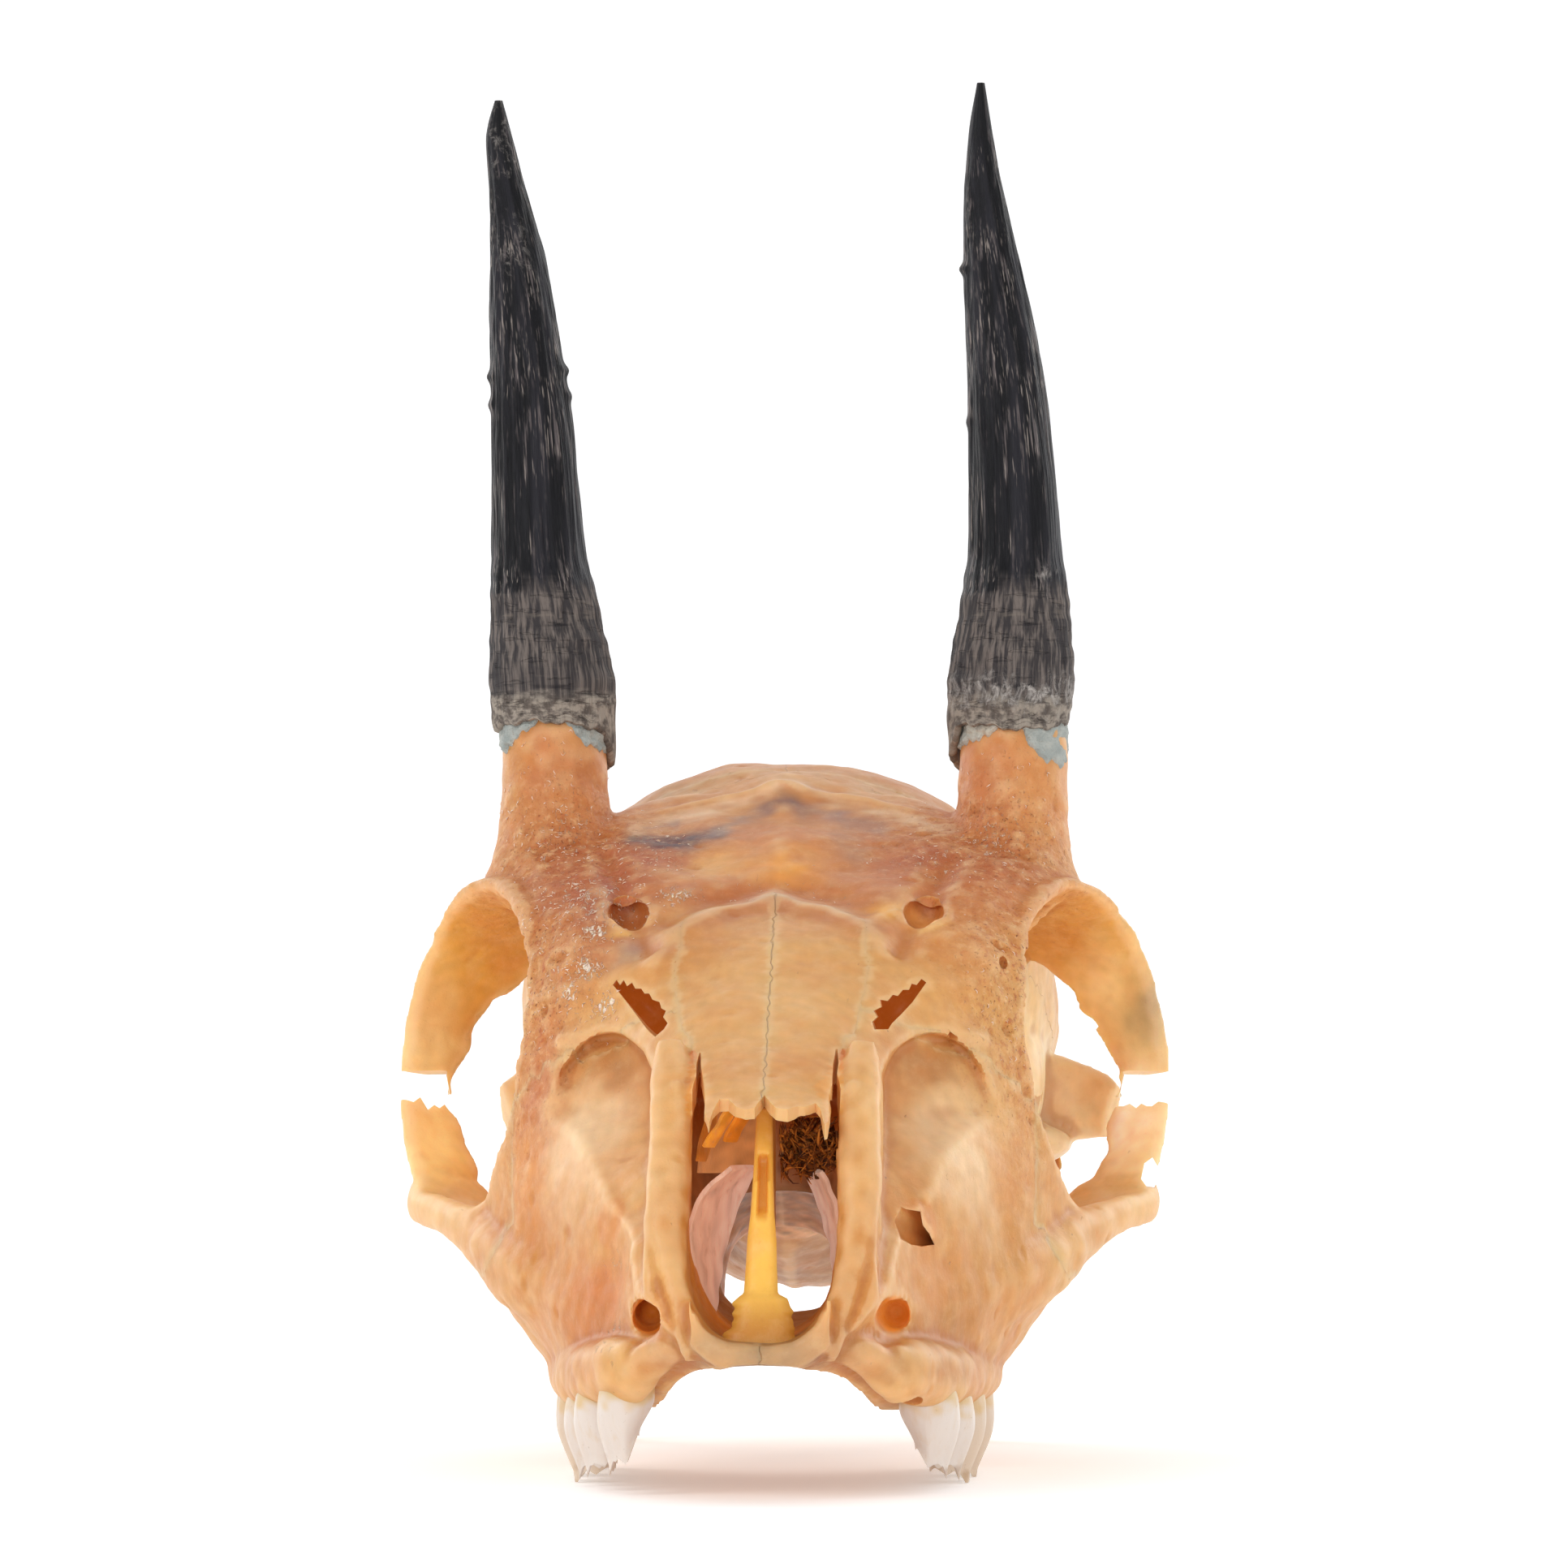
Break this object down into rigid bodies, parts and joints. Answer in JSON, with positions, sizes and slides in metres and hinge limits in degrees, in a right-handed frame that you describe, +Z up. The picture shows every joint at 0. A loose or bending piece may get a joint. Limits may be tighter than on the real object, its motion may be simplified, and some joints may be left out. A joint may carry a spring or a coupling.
{
  "type": "antelope skull",
  "caption": "Weathered steenbok skull without lower jaw: open snout, large round orbits with snapped rear bars, short upright black horns set on their cores with grey putty.",
  "frame": {"origin": "middle of the skull's footprint, on the surface it rests on", "axes": "+Z up, the nose points along -Y, +X is the animal's left side"},
  "size_m": [0.0656, 0.104, 0.1186],
  "materials": {
    "bone": "dry yellow-orange bone, satin",
    "horn": "black fibrous horn, half gloss",
    "putty": "pale grey putty, matt"
  },
  "bodies": {
    "root": {"frontal": "bone", "braincase": "bone", "maxilla_left": "bone", "maxilla_right": "bone", "jugal_left": "bone", "jugal_right": "bone", "nasal_left": "bone", "nasal_right": "bone", "vomer": "bone", "turbinate_left": "bone", "turbinate_right": "bone", "horn_sheath_left": "horn", "horn_sheath_right": "horn", "putty_left": "putty", "putty_right": "putty"}
  },
  "joints": []
}
